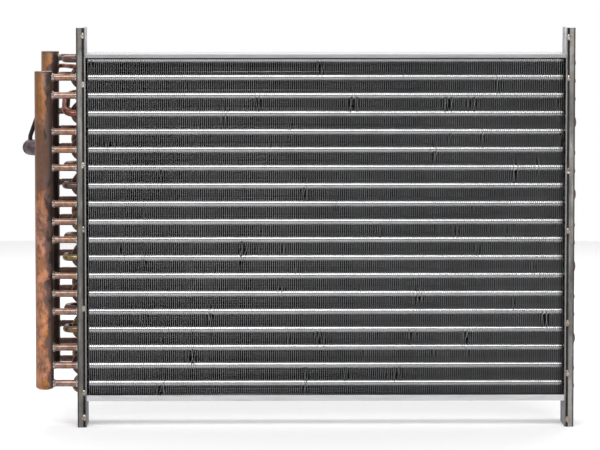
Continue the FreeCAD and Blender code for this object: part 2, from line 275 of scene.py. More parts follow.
def extend(bm, edges, step, size=1.0):
    """Draws a ring out by a step, made larger or smaller."""
    made = bmesh.ops.extrude_edge_only(bm, edges=edges)
    verts = [item for item in made["geom"] if isinstance(item, bmesh.types.BMVert)]
    bmesh.ops.translate(bm, verts=verts, vec=step)
    if size != 1.0:
        centre = sum((vert.co for vert in verts), Vector()) / len(verts)
        bmesh.ops.scale(bm, verts=verts, vec=(size, size, size), space=Matrix.Translation(-centre))
    return edges_between(verts)


def turn(bm, edges, centre, axis, angle, steps=6):
    """Carries a ring round a centre."""
    verts = list({vert for edge in edges for vert in edge.verts})
    made = bmesh.ops.spin(bm, geom=verts + edges, cent=centre, axis=axis, dvec=(0, 0, 0), angle=angle,
                          steps=steps, use_merge=False, use_duplicate=False)
    return edges_between([item for item in made["geom_last"] if isinstance(item, bmesh.types.BMVert)])


def close(bm, *rings):
    """Fills rings with end faces."""
    for edges in rings:
        bmesh.ops.edgeloop_fill(bm, edges=edges)


def turned(bm, origin, way, profile, steps):
    """A closed turned shape: the profile gives (distance along the way, radius) in order."""
    along, radius = profile[0]
    first = last = ring(bm, origin + way * along, way, radius, steps)
    for next_along, next_radius in profile[1:]:
        last = extend(bm, last, way * (next_along - along), next_radius / radius)
        along, radius = next_along, next_radius
    close(bm, first, last)


def on_wall(outline, start=0.0, wall=tube_radius):
    """An outline above a wall as a profile for turned, moved along to its start."""
    return [(start + along, wall + height) for along, height in outline]


def bent_tube(bm, a, b, out, reach, corner, steps):
    """A closed bend from tube end a to tube end b, which stands out by its reach."""
    shortest_run = 1e-5
    over = (b - a).normalized()
    axis = out.cross(over)
    leg = reach - corner
    flat = (b - a).length - 2 * corner
    first = last = ring(bm, a + out * min(leg, 0), out, tube_radius, steps)
    if leg > 0:
        last = extend(bm, last, out * leg)
    last = turn(bm, last, a + out * leg + over * corner, axis, math.pi / 2)
    if flat > shortest_run:
        last = extend(bm, last, over * flat)
    last = turn(bm, last, b + out * leg - over * corner, axis, math.pi / 2)
    if leg > 0:
        last = extend(bm, last, out * -leg)
    close(bm, first, last)


def open_end(bm, last, way, radius, wall):
    """Folds the end of a pipe back into its bore."""
    last = extend(bm, last, Vector(), (radius - wall) / radius)
    return extend(bm, last, way * -bore_depth)


def drawn_line(route):
    """A round line along a smooth curve through the route's control points."""
    curve = bpy.data.curves.new("line route", "CURVE")
    curve.dimensions = "3D"
    curve.bevel_depth = line_radius
    curve.bevel_resolution = 4
    curve.use_fill_caps = True
    curve.resolution_u = 8
    spline = curve.splines.new("NURBS")
    spline.points.add(len(route) - 1)
    for point, place in zip(spline.points, route):
        point.co = (*place, 1)
    spline.order_u = 3
    spline.use_endpoint_u = True
    holder = bpy.data.objects.new("line route", curve)
    bpy.context.collection.objects.link(holder)
    shape = bpy.data.meshes.new_from_object(holder.evaluated_get(bpy.context.evaluated_depsgraph_get()))
    bm = bmesh.new()
    bm.from_mesh(shape)
    bmesh.ops.remove_doubles(bm, verts=bm.verts, dist=1e-6)
    bpy.data.objects.remove(holder)
    return bm


def fin_lean(fin, rim, height, most):
    """How far a fin's edge leans: a little everywhere, and more where handling has knocked it."""
    seed = 11
    small_lean = 0.2
    knock_from = 0.42
    knock_growth = 5
    lean = noise.noise(Vector((fin * 0.9, rim * 7, height * 55)))
    knock = noise.noise(Vector((fin * 0.13, rim * 3, height * 34 + seed)))
    shift = lean * small_lean * most
    if knock > knock_from:
        shift += (knock - knock_from) * knock_growth * most * (1 if lean > 0 else -1)
    return shift * rim


def piece(name, bm, material, nodes=(), smooth=True):
    """Makes a named piece of the object from a finished mesh and lets it stand for CAD nodes."""
    bmesh.ops.recalc_face_normals(bm, faces=bm.faces)
    mesh = bpy.data.meshes.new(name)
    bm.to_mesh(mesh)
    bm.free()
    if smooth:
        mesh.shade_smooth()
        mesh.set_sharp_from_angle(angle=sharp_angle)
    obj = bpy.data.objects.new(name, mesh)
    bpy.context.collection.objects.link(obj)
    mesh.materials.append(material)
    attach(obj, "root")
    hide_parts(*nodes)


def refinish(node, material):
    """Gives a CAD node that stays a better material."""
    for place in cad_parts[node].material_slots:
        place.material = material


# Parts of materials

def feed(tree, socket, value):
    """Links a socket from another one, or sets a plain value on it."""
    if isinstance(value, bpy.types.NodeSocket):
        tree.links.new(value, socket)
    else:
        socket.default_value = value


def maths(tree, operation, *values, clamp=False):
    """One maths node, fed with sockets or plain numbers."""
    node = tree.nodes.new("ShaderNodeMath")
    node.operation = operation
    node.use_clamp = clamp
    for place, value in enumerate(values):
        feed(tree, node.inputs[place], value)
    return node.outputs[0]


def clouds(tree, place, per_metre, detail):
    """Soft noise of a chosen size along each axis."""
    spread = tree.nodes.new("ShaderNodeVectorMath")
    spread.operation = "MULTIPLY"
    feed(tree, spread.inputs[0], place)
    feed(tree, spread.inputs[1], per_metre)
    pattern = tree.nodes.new("ShaderNodeTexNoise")
    pattern.inputs["Scale"].default_value = 1.0
    feed(tree, pattern.inputs["Vector"], spread.outputs[0])
    feed(tree, pattern.inputs["Detail"], detail)
    return pattern.outputs["Fac"]


def split_axes(tree, place):
    """A place's distances along X, Y and Z."""
    split = tree.nodes.new("ShaderNodeSeparateXYZ")
    feed(tree, split.inputs[0], place)
    return split.outputs


def distance_from(tree, place, middle):
    """How far a place lies from a middle, to either side."""
    return maths(tree, "ABSOLUTE", maths(tree, "SUBTRACT", place, middle))


def rise(tree, place, none, full, wobble=0.0):
    """A mask along one axis, 0 up to one place and 1 from the other on, with a wavy edge."""
    shifted = maths(tree, "ADD", place, wobble)
    return maths(tree, "DIVIDE", maths(tree, "SUBTRACT", shifted, none), full - none, clamp=True)


def laid_over(tree, mask, below, above):
    """A colour with another laid over it where a mask is set."""
    mix = tree.nodes.new("ShaderNodeMix")
    mix.data_type = "RGBA"
    feed(tree, mix.inputs["Factor"], mask)
    feed(tree, mix.inputs["A"], below)
    feed(tree, mix.inputs["B"], above)
    return mix.outputs["Result"]


def opaque(colour):
    """A colour as a colour socket takes it."""
    return (*colour, 1)


def tone(colour, share):
    """A darker tone of a colour, or a paler one where the share is above 1."""
    return tuple(part * share for part in colour)


# Effects that several finishes share, each made once as a shader node group

def tone_patches(tree, given):
    """Soft patches of a second colour, of a chosen size along each axis."""
    soft = clouds(tree, given["Place"], given["Patches per metre"], 4.0)
    from_middle = maths(tree, "SUBTRACT", soft, given["Threshold"])
    sharper = maths(tree, "MULTIPLY_ADD", from_middle, given["Sharpness"], 0.5, clamp=True)
    mask = maths(tree, "MULTIPLY", sharper, given["Amount"])
    return laid_over(tree, mask, given["Colour"], given["Patch colour"])


def surface_grain(tree, given):
    """Uneven surface of a chosen size along each axis, for roughness and bump."""
    return clouds(tree, given["Place"], given["Grains per metre"], given["Detail"])


def spangle(tree, given):
    """The crystals of galvanised sheet."""
    crystals = tree.nodes.new("ShaderNodeTexVoronoi")
    feed(tree, crystals.inputs["Scale"], given["Crystals per metre"])
    feed(tree, crystals.inputs["Vector"], given["Place"])
    return crystals.outputs["Distance"]


def coil_depth(tree, given):
    """A mask that rises between two depths behind the coil's front and rear faces."""
    from_middle = distance_from(tree, split_axes(tree, given["Place"])["Y"], coil_middle_y)
    depth = maths(tree, "SUBTRACT", coil_half_depth, from_middle)
    span = maths(tree, "SUBTRACT", given["Full from"], given["None to"])
    return maths(tree, "DIVIDE", maths(tree, "SUBTRACT", depth, given["None to"]), span, clamp=True)


def coil_painted_shade(tree, given):
    """Painted shade: a little darker towards the coil's top, and in the right plate's shadow at its end."""
    upper_from = (0.2, 0.52)
    from_right_end = (0.006, 0.001)
    split = split_axes(tree, given["Place"])
    # Painted shade: the upper part of the coil a little darker, as less light falls there
    upper = maths(tree, "MULTIPLY", rise(tree, split["Z"], *upper_from), 0.16)
    colour = laid_over(tree, upper, given["Colour"], opaque(tone(colours().fin, 0.1)))
    # Painted shadow that the right plate casts on the end of the coil
    near = rise(tree, split["X"], *[coil_high.x - away for away in from_right_end])
    right_plate_shadow = maths(tree, "MULTIPLY", near, 0.75)
    return laid_over(tree, right_plate_shadow, colour, opaque(tone(colours().fin, 0.08)))


# Each effect's other inputs, as (name, kind, default), and the kind of its output
effects = {
    tone_patches: ("Tone patches", "NodeSocketColor", [
        ("Colour", "NodeSocketColor", (1, 1, 1, 1)),
        ("Patch colour", "NodeSocketColor", (0, 0, 0, 1)),
        ("Patches per metre", "NodeSocketVector", (30, 30, 30)),
        ("Amount", "NodeSocketFloat", 0.5),
        ("Sharpness", "NodeSocketFloat", 3.2),
        ("Threshold", "NodeSocketFloat", 0.5),
    ]),
    surface_grain: ("Surface grain", "NodeSocketFloat", [
        ("Grains per metre", "NodeSocketVector", (100, 100, 100)),
        ("Detail", "NodeSocketFloat", 3.0),
    ]),
    spangle: ("Spangle", "NodeSocketFloat", [
        ("Crystals per metre", "NodeSocketFloat", 130.0),
    ]),
    coil_depth: ("Depth into coil", "NodeSocketFloat", [
        ("None to", "NodeSocketFloat", 0.0),
        ("Full from", "NodeSocketFloat", 0.01),
    ]),
    coil_painted_shade: ("Coil painted shade", "NodeSocketColor", [
        ("Colour", "NodeSocketColor", (1, 1, 1, 1)),
    ]),
}


def effect_group(effect):
    """The node group of an effect, made the first time that a finish asks for it."""
    name, output_kind, inputs = effects[effect]
    tree = bpy.data.node_groups.get(name)
    if tree is None:
        tree = bpy.data.node_groups.new(name, "ShaderNodeTree")
        tree.interface.new_socket("Place", in_out="INPUT", socket_type="NodeSocketVector")
        for label, kind, default in inputs:
            tree.interface.new_socket(label, in_out="INPUT", socket_type=kind).default_value = default
        tree.interface.new_socket("Result", in_out="OUTPUT", socket_type=output_kind)
        given = tree.nodes.new("NodeGroupInput").outputs
        result = tree.nodes.new("NodeGroupOutput").inputs["Result"]
        tree.links.new(effect(tree, given), result)
    return tree


class Finish:
    """A material whose colour, roughness and bump come from patterns on Object coordinates."""

    def __init__(self, name, colour, metallic, roughness):
        self.material = bpy.data.materials.new(name)
        self.material.use_nodes = True
        self.tree = self.material.node_tree
        self.shader = self.tree.nodes["Principled BSDF"]
        self.shader.inputs["Metallic"].default_value = metallic
        self.shader.inputs["Roughness"].default_value = roughness
        self.place = self.tree.nodes.new("ShaderNodeTexCoord").outputs["Object"]
        self.colour = opaque(colour)

    def axes(self):
        return split_axes(self.tree, self.place)

    def effect(self, effect, values):
        """Puts a shared effect on the finish; its values are given by the names of its inputs."""
        node = self.tree.nodes.new("ShaderNodeGroup")
        node.node_tree = effect_group(effect)
        feed(self.tree, node.inputs["Place"], self.place)
        for label, value in values.items():
            feed(self.tree, node.inputs[label], value)
        return node.outputs["Result"]

    def patches(self, patch_colour, per_metre, amount, sharpness=3.2, threshold=0.5):
        self.colour = self.effect(tone_patches, {
            "Colour": self.colour, "Patch colour": opaque(patch_colour), "Patches per metre": per_metre,
            "Amount": amount, "Sharpness": sharpness, "Threshold": threshold})

    def grain(self, per_metre, detail=3.0):
        return self.effect(surface_grain, {"Grains per metre": per_metre, "Detail": detail})

    def over(self, mask, colour, amount=1.0):
        """Lays a colour over the finish where a mask is set."""
        mask = maths(self.tree, "MULTIPLY", mask, amount)
        self.colour = laid_over(self.tree, mask, self.colour, opaque(colour))

    def rough(self, source, low, high):
        value = maths(self.tree, "MULTIPLY_ADD", source, high - low, low, clamp=True)
        feed(self.tree, self.shader.inputs["Roughness"], value)

    def bump(self, height, distance, strength):
        node = self.tree.nodes.new("ShaderNodeBump")
        node.inputs["Distance"].default_value = distance
        node.inputs["Strength"].default_value = strength
        feed(self.tree, node.inputs["Height"], height)
        feed(self.tree, self.shader.inputs["Normal"], node.outputs["Normal"])

    def done(self):
        feed(self.tree, self.shader.inputs["Base Color"], self.colour)
        return self.material


# Finishes

def fin_finish():
    """Aluminium with painted shade between the fins, by the covers, towards the top and at the right end.
    """
    lip_shade = (0.0035, 0.0005)
    finish = Finish("Fin aluminium", colours().fin, metallic=0.45, roughness=0.42)
    tree = finish.tree
    finish.patches(tone(colours().fin, 0.62), (14, 40, 9), amount=0.5)
    finish.patches((0.30, 0.29, 0.27), (90, 60, 4), amount=0.25)
    # Painted shade: the fins darken with depth behind the coil's front and rear faces
    deep = finish.effect(coil_depth, {"None to": 0.0005, "Full from": 0.007})
    finish.over(deep, tone(colours().fin, 0.05), amount=0.93)
    # Painted shade on the fins next to the top and bottom covers' lips
    height = finish.axes()["Z"]
    below = rise(tree, height, *[bottom_cover_high.z + away for away in lip_shade])
    above = rise(tree, height, *[top_cover_low.z - away for away in lip_shade])
    finish.over(maths(tree, "MAXIMUM", below, above), tone(colours().fin, 0.08))
    finish.colour = finish.effect(coil_painted_shade, {"Colour": finish.colour})
    finish.rough(finish.grain((60, 60, 60)), 0.3, 0.55)
    finish.bump(finish.grain((30, 900, 900)), 0.0002, 0.2)
    return finish.done()


def collar_finish():
    """Bright aluminium ribbed at the fins' pitch, with painted shade between ribs and deep in the coil."""
    finish = Finish("Collar aluminium", colours().collar, metallic=0.85, roughness=0.2)
    tree = finish.tree
    finish.patches(tone(colours().collar, 0.72), (25, 60, 60), amount=0.5)
    # Painted shade on the collars of the rows that lie deeper in the coil
    deep = finish.effect(coil_depth, {"None to": 0.016, "Full from": 0.024})
    finish.over(deep, tone(colours().collar, 0.12), amount=0.95)
    finish.colour = finish.effect(coil_painted_shade, {"Colour": finish.colour})
    # Painted shade in the grooves between the collar rings, at the fins' pitch
    turns = maths(tree, "MULTIPLY", finish.axes()["X"], 2 * math.pi / sizes().fin_pitch)
    ribs = maths(tree, "SINE", turns)
    finish.over(rise(tree, ribs, 0.2, 1.0), tone(colours().collar, 0.3), amount=0.45)
    finish.rough(finish.grain((40, 40, 40)), 0.18, 0.3)
    finish.bump(ribs, 0.0001, 0.1)
    return finish.done()


def copper_finish(name, colour, patch_colour, amount, roughness):
    """Handled copper with patches of a second tone and dark specks."""
    finish = Finish(name, colour, metallic=0.75, roughness=roughness)
    finish.patches(patch_colour, (55, 55, 38), amount, sharpness=6.0)
    finish.patches(tone(colour, 0.3), (150, 150, 110), amount=0.5, sharpness=6.0, threshold=0.53)
    finish.rough(finish.grain((110, 110, 110)), roughness - 0.08, roughness + 0.14)
    finish.bump(finish.grain((600, 600, 600)), 0.0003, 0.18)
    return finish.done()


def bend_finish(name, coloured=()):
    """Brown bends; the coloured ones are given as (tube of the front row, colour)."""
    below_tube = 0.006
    colour_reach = (0.017, 0.013)
    finish = Finish(name, colours().bend_brown, metallic=0.75, roughness=0.34)
    tree = finish.tree
    finish.patches(colours().bend, (9, 24, 23), amount=0.6, sharpness=7.0, threshold=0.52)
    finish.patches(colours().bend_brass, (7, 20, 19), amount=0.6, sharpness=8.0, threshold=0.57)
    for tube, colour in coloured:
        away = distance_from(tree, finish.axes()["Z"], tube_end(0, 1, tube).z + below_tube)
        finish.over(rise(tree, away, *colour_reach), colour)
    finish.patches(tone(colours().bend_brown, 0.4), (130, 130, 110), amount=0.5, sharpness=6.0)
    finish.rough(finish.grain((140, 140, 140)), 0.24, 0.46)
    finish.bump(finish.grain((700, 700, 700)), 0.0003, 0.15)
    return finish.done()


def line_finish():
    """The thin line is near black beyond the headers and wine red on their other side."""
    change = 0.004
    finish = Finish("Line copper", tone(colours().pipe, 0.3), metallic=0.7, roughness=0.36)
    finish.patches(tone(colours().pipe, 0.15), (90, 90, 90), amount=0.5)
    axis_x = header_places[5].x
    finish.over(rise(finish.tree, finish.axes()["X"], axis_x - change, axis_x + change), colours().bend)
    finish.bump(finish.grain((600, 600, 600)), 0.0003, 0.18)
    return finish.done()


def header_mottle(finish):
    """Ochre, pink, orange, brown and grey patches, from large ones to specks."""
    look = colours()
    finish.patches(look.header_ochre, (48, 48, 26), amount=0.8, sharpness=7.0)
    finish.patches(look.header_pink, (60, 60, 38), amount=0.6, sharpness=7.0)
    finish.patches(look.header_orange, (50, 50, 30), amount=0.7, sharpness=9.0, threshold=0.57)
    finish.patches(tone(look.header, 0.25), (85, 85, 60), amount=0.6, sharpness=7.0, threshold=0.54)
    finish.patches(look.header_grey, (40, 40, 24), amount=0.6, sharpness=9.0, threshold=0.56)
    finish.patches(look.header_pink, (190, 190, 130), amount=0.5, sharpness=9.0, threshold=0.55)
    finish.patches(tone(look.header, 0.2), (230, 230, 150), amount=0.6, sharpness=9.0, threshold=0.56)


def header_bands(finish, wave):
    """Ochre near the top, and purple grey below it where the copper was heated."""
    ochre_from = (0.415, 0.445)
    heated_from = (0.330, 0.345)
    heated_to = (0.440, 0.425)
    tree = finish.tree
    height = finish.axes()["Z"]
    wobble = maths(tree, "MULTIPLY_ADD", wave, 0.06, -0.03)
    finish.over(rise(tree, height, *ochre_from, wobble), tone(colours().header_ochre, 0.7), amount=0.75)
    heated = maths(tree, "MULTIPLY", rise(tree, height, *heated_from, wobble),
                   rise(tree, height, *heated_to, wobble))
    finish.over(heated, tone(colours().header_grey, 0.8), amount=0.9)


def header_left_side(finish, axis_x):
    """Painted shade on the side away from the stubs, with a darker line of painted shade along its edge."""
    left_shade_width = 0.0127
    line = (0.0108, 0.0122)
    tree = finish.tree
    across = finish.axes()["X"]
    # Painted shade on the left half, as the light falls more from the front and right
    left_shade = rise(tree, across, axis_x, axis_x - left_shade_width)
    finish.over(left_shade, tone(colours().header, 0.35), amount=0.4)
    # Painted shade along the left edge, drawn in the stain colour
    finish.over(rise(tree, across, *[axis_x - away for away in line]), colours().stain, amount=0.6)


def header_stain(finish, row, wave):
    """A wavy dark stain towards the stubs, with a wine red rim and patches of soot."""
    stub_ripple = 0.0006
    wave_width = 0.026
    rim_width = 0.0030
    edge_width = 0.0014
    starts = {1: 0.0034, 5: -0.0010}
    shares = {1: 1.2, 5: 0.6}
    tree = finish.tree
    split = finish.axes()
    from_stub = maths(tree, "SUBTRACT", split["Z"], tube_end(0, row, 0).z)
    round_stubs = maths(tree, "COSINE", maths(tree, "MULTIPLY", from_stub, 2 * math.pi / tube_pitch))
    wavy = maths(tree, "MULTIPLY_ADD", wave, wave_width, -wave_width / 2)
    reach = maths(tree, "MULTIPLY_ADD", round_stubs, -stub_ripple, wavy)
    start = header_places[row].x + starts[row]
    rim = rise(tree, split["X"], start - rim_width, start, reach)
    finish.over(rim, colours().bend, amount=0.4)
    stain = rise(tree, split["X"], start, start + edge_width, reach)
    finish.over(stain, tone(colours().stain, shares[row]), amount=0.9)
    sooty = rise(tree, finish.grain((70, 70, 44), detail=5.0), 0.50, 0.58)
    finish.over(maths(tree, "MULTIPLY", stain, sooty), tone(colours().stain, 0.3), amount=0.75)


def header_finish(row, name):
    """Mottled copper, ochre on top, grey below that, with a wavy dark stain towards the stubs."""
    top_edge = (0.006, 0.003)
    finish = Finish(name, colours().header, metallic=0.65, roughness=0.4)
    wave = finish.grain((26, 26, 52), detail=5.0)
    header_mottle(finish)
    header_bands(finish, wave)
    header_left_side(finish, header_places[row].x)
    header_stain(finish, row, wave)
    top = rise(finish.tree, finish.axes()["Z"], *[header_tops[row] - below for below in top_edge])
    finish.over(top, colours().stain, amount=0.7)
    finish.rough(finish.grain((80, 80, 50)), 0.3, 0.56)
    finish.bump(finish.grain((420, 420, 240)), 0.0004, 0.25)
    return finish.done()


def plate_finish(name, colour):
    """Galvanised sheet with spangle and streaks."""
    finish = Finish(name, colour, metallic=0.5, roughness=0.45)
    finish.patches(tone(colour, 1.7), (90, 90, 26), amount=0.7, sharpness=7.0)
    finish.patches(tone(colour, 0.3), (80, 80, 12), amount=0.65, sharpness=7.0, threshold=0.53)
    finish.rough(finish.effect(spangle, {"Crystals per metre": 130.0}), 0.35, 0.95)
    finish.bump(finish.grain((240, 240, 90)), 0.0004, 0.16)
    return finish


def inner_sheet_finish(name):
    """Bright sheet whose cut front and rear edges are darker grey, with painted shade on its foot."""
    cut_edge = (0.0007, 0.0003)
    foot_fade = 0.008
    finish = plate_finish(name, colours().inner_sheet)
    tree = finish.tree
    away = distance_from(tree, finish.axes()["Y"], plate_middle_y)
    edge = rise(tree, away, *[plate_half_depth - depth for depth in cut_edge])
    finish.over(edge, tone(colours().plate, 1.1))
    # Painted shade on the sheet's foot below the bottom cover
    low = rise(tree, finish.axes()["Z"], bottom_cover_high.z, bottom_cover_high.z - foot_fade)
    finish.over(low, tone(colours().inner_sheet, 0.3), amount=0.8)
    return finish.done()


def channel_finish(name, side):
    """Sheet with heat tint at the welds, and painted shade: black in the groove, dark along the outer edge.
    """
    tint_reach = (0.015, 0.003)
    tint = (0.25, 0.205, 0.16)
    outer_edge = (0.0090, 0.0102)
    edge_wobble = 0.0008
    groove_width = (0.0038, 0.0030)
    flange_depth = (0.0048, 0.0042)
    shadow = (0.012, 0.010, 0.009)
    finish = plate_finish(name, colours().plate)
    tree = finish.tree
    split = finish.axes()
    heat = None
    for height in weld_heights[side]:
        near = rise(tree, distance_from(tree, split["Z"], height), *tint_reach)
        heat = near if heat is None else maths(tree, "MAXIMUM", heat, near)
    finish.over(maths(tree, "MULTIPLY", heat, finish.grain((260, 260, 180))), tint, amount=0.9)
    web = left_web + sheet if side < 0 else right_web - sheet
    outward = maths(tree, "MULTIPLY", maths(tree, "SUBTRACT", split["X"], web), side)
    wobble = maths(tree, "MULTIPLY", finish.grain((200, 200, 60)), edge_wobble)
    # Painted shade along the rounded outer edge of the flange
    finish.over(rise(tree, outward, *outer_edge, wobble), tone(colours().plate, 0.25), amount=0.92)
    away = distance_from(tree, split["Y"], plate_middle_y)
    flange = rise(tree, away, *[plate_half_depth - depth for depth in flange_depth])
    groove = maths(tree, "MULTIPLY", rise(tree, outward, *groove_width), flange)
    finish.over(groove, shadow, amount=0.95)
    return finish.done()


def cover_finish(name, colour):
    """Brushed sheet with fine lines along the coil."""
    finish = Finish(name, colour, metallic=0.5, roughness=0.38)
    finish.patches(tone(colour, 0.72), (9, 120, 160), amount=0.5)
    finish.patches(tone(colour, 1.25), (30, 200, 260), amount=0.4)
    finish.rough(finish.grain((20, 200, 200)), 0.28, 0.5)
    finish.bump(finish.grain((40, 500, 500)), 0.0003, 0.15)
    return finish.done()


def weld_finish():
    """Lumpy weld with bright and burnt spots."""
    finish = Finish("Weld bead", colours().weld, metallic=0.7, roughness=0.3)
    finish.patches((0.80, 0.77, 0.74), (420, 420, 360), amount=0.8, sharpness=7.0, threshold=0.54)
    finish.patches((0.10, 0.07, 0.05), (300, 300, 240), amount=0.8, sharpness=7.0, threshold=0.53)
    finish.bump(finish.grain((900, 900, 900)), 0.0006, 0.5)
    return finish.done()


def solder_finish():
    """Solder tinted by the copper under it."""
    finish = Finish("Solder", colours().solder, metallic=0.8, roughness=0.26)
    finish.patches((0.35, 0.28, 0.24), (240, 240, 200), amount=0.6)
    finish.bump(finish.grain((800, 800, 800)), 0.0004, 0.3)
    return finish.done()


# Operators, one for each group of pieces and one for the stage

class COIL_OT_fins(bpy.types.Operator):
    """Build the stack of thin fins, with the bent edges that handling leaves"""
    bl_idname = "coil.fins"
    bl_label = "Fins"

    def execute(self, context):
        straight_end = 0.004
        rear_share = 0.6
        cuts_along_edge = 56
        size = sizes()
        low = Vector((coil_low.x, front_edge_low.y, coil_low.z))
        high = Vector((coil_high.x, rear_edge_high.y, coil_high.z))
        count = round((high.x - low.x) / size.fin_pitch) + 1
        pitch = (high.x - low.x - size.fin_thickness) / (count - 1)
        bm = bmesh.new()
        made = bmesh.ops.create_cube(bm, size=1.0)
        bmesh.ops.scale(bm, verts=made["verts"], vec=(size.fin_thickness, high.y - low.y, high.z - low.z))
        centre = Vector((low.x + size.fin_thickness / 2, coil_middle_y, (low.z + high.z) / 2))
        bmesh.ops.translate(bm, verts=made["verts"], vec=centre)
        upright = [edge for edge in bm.edges if abs(edge.verts[0].co.z - edge.verts[1].co.z) > straight_end]
        bmesh.ops.subdivide_edges(bm, edges=upright, cuts=cuts_along_edge, use_grid_fill=True)
        one_fin = bm.verts[:] + bm.edges[:] + bm.faces[:]
        for place in range(1, count):
            copy = bmesh.ops.duplicate(bm, geom=one_fin)
            moved = [item for item in copy["geom"] if isinstance(item, bmesh.types.BMVert)]
            bmesh.ops.translate(bm, verts=moved, vec=(place * pitch, 0, 0))
        for vert in bm.verts:
            fin = round((vert.co.x - low.x) / pitch)
            if 0 < fin < count - 1 and low.z + straight_end < vert.co.z < high.z - straight_end:
                rim = 1.0 if vert.co.y < coil_middle_y else rear_share
                vert.co.x += fin_lean(fin, rim, vert.co.z, size.fin_bend)
        piece("fins", bm, fin_finish(), ("fin_stack", "front_fin_edges", "rear_fin_edges"),
              smooth=False)
        return {"FINISHED"}


class COIL_OT_collars(bpy.types.Operator):
    """Build the collars of the fins and the tubes inside them, for every row"""
    bl_idname = "coil.collars"
    bl_label = "Collars and tubes"

    def execute(self, context):
        collar_steps = 24
        size = sizes()
        collars = bmesh.new()
        tubes = bmesh.new()
        collar = [(0, size.collar_radius), (coil_high.x - coil_low.x, size.collar_radius)]
        straight = [(0, tube_radius), (tubes_high.x - tubes_low.x, tube_radius)]
        for row in range(1, row_count + 1):
            for tube in range(tube_count):
                turned(collars, tube_end(coil_low.x, row, tube), rightward, collar, collar_steps)
                turned(tubes, tube_end(tubes_low.x, row, tube), rightward, straight, size.round_steps)
        piece("fin_collars", collars, collar_finish())
        # The coil tubes' near-black copper is painted shade: their short bare ends lie in shadow by the
        # plates
        copper = copper_finish("Coil tube copper", tone(colours().stub, 0.06),
                               tone(colours().bend, 0.1), amount=0.6, roughness=0.5)
        piece("coil_tubes", tubes, copper, ("front_row_tubes", "rear_row_tubes"))
        return {"FINISHED"}


class COIL_OT_bends(bpy.types.Operator):
    """Build the return and crossing bends on the left and the hairpin bends on the right"""
    bl_idname = "coil.bends"
    bl_label = "Bends"

    def execute(self, context):
        size = sizes()
        brown = bend_finish("Bend copper")
        crossing = bend_finish("Front crossing bend copper",
                               coloured=((3, colours().bend), (11, colours().bend_brass)))
        groups = [(return_pairs, left_web, leftward, size.return_reach),
                  (crossing_pairs, left_web, leftward, size.crossing_reach),
                  (hairpin_pairs, right_web, rightward, size.hairpin_reach)]
        for pairs_of, web, out, reach in groups:
            for node, pairs in pairs_of.items():
                bm = bmesh.new()
                for first, second in pairs:
                    bent_tube(bm, tube_end(web, *first), tube_end(web, *second), out, reach,
                              size.turn_radius, size.round_steps)
                copper = crossing if node == "front_crossing_bends" else brown
                piece("round_" + node, bm, copper, (node,))
        return {"FINISHED"}


class COIL_OT_stubs(bpy.types.Operator):
    """Build the stubs from the headers into the coil, with their solder rings and the brazed collars"""
    bl_idname = "coil.stubs"
    bl_label = "Stubs and solder"

    def stubs(self, solder):
        front = copper_finish("Stub copper", colours().stub, colours().header_ochre, amount=0.5,
                              roughness=0.34)
        rear = copper_finish("Rear stub copper", tone(colours().stub, 0.38), tone(colours().bend, 0.6),
                             amount=0.6, roughness=0.4)
        steps = sizes().round_steps
        for row, node, copper in ((1, "front_header_stubs", front), (5, "rear_header_stubs", rear)):
            bm = bmesh.new()
            header_side = header_places[row].x + header_radius
            reach = left_web - header_side
            for step in stub_pattern:
                start = tube_end(header_side, row, first_stub[row] + step)
                turned(bm, start, rightward, [(-stub_root, tube_radius)] + on_wall(stub_cup, reach), steps)
                turned(solder, start, rightward, on_wall(header_solder), steps)
                turned(solder, start, rightward, on_wall(cup_solder, reach), steps)
            piece(node.replace("header_", "round_"), bm, copper, (node,))

    def execute(self, context):
        solder = bmesh.new()
        self.stubs(solder)
        piece("solder_rings", solder, solder_finish())
        braze = bmesh.new()
        for pairs in list(return_pairs.values()) + list(crossing_pairs.values()):
            for pair in pairs:
                for row, tube in pair:
                    turned(braze, tube_end(left_web, row, tube), leftward, on_wall(braze_collar),
                           sizes().round_steps)
        copper = copper_finish("Braze", colours().bend_brass, colours().solder, amount=0.6, roughness=0.34)
        piece("braze_collars", braze, copper)
        return {"FINISHED"}


class COIL_OT_headers(bpy.types.Operator):
    """Build the two upright headers with a flat cap above and a rounded end below"""
    bl_idname = "coil.headers"
    bl_label = "Headers"

    def execute(self, context):
        dome_steps = 6
        rings_up = (0.25, 0.5, 0.75)
        facets = 56
        dome = header_low.z - caps_low.z
        angles = [step * math.pi / (2 * dome_steps) for step in range(1, dome_steps + 1)]
        for row, node in ((1, "front_header"), (5, "rear_header")):
            bm = bmesh.new()
            height = header_tops[row] - header_bottoms[row]
            profile = [(-dome * math.cos(angle), header_radius * math.sin(angle)) for angle in angles]
            profile += [(height * share, header_radius) for share in rings_up]
            profile += on_wall(header_rim, height, header_radius)
            turned(bm, header_places[row] + upward * header_bottoms[row], upward, profile, facets)
            nodes = (node, "header_caps") if row == 1 else (node,)
            copper = header_finish(row, node.replace("_", " ").capitalize() + " copper")
            piece("round_" + node, bm, copper, nodes)
        return {"FINISHED"}


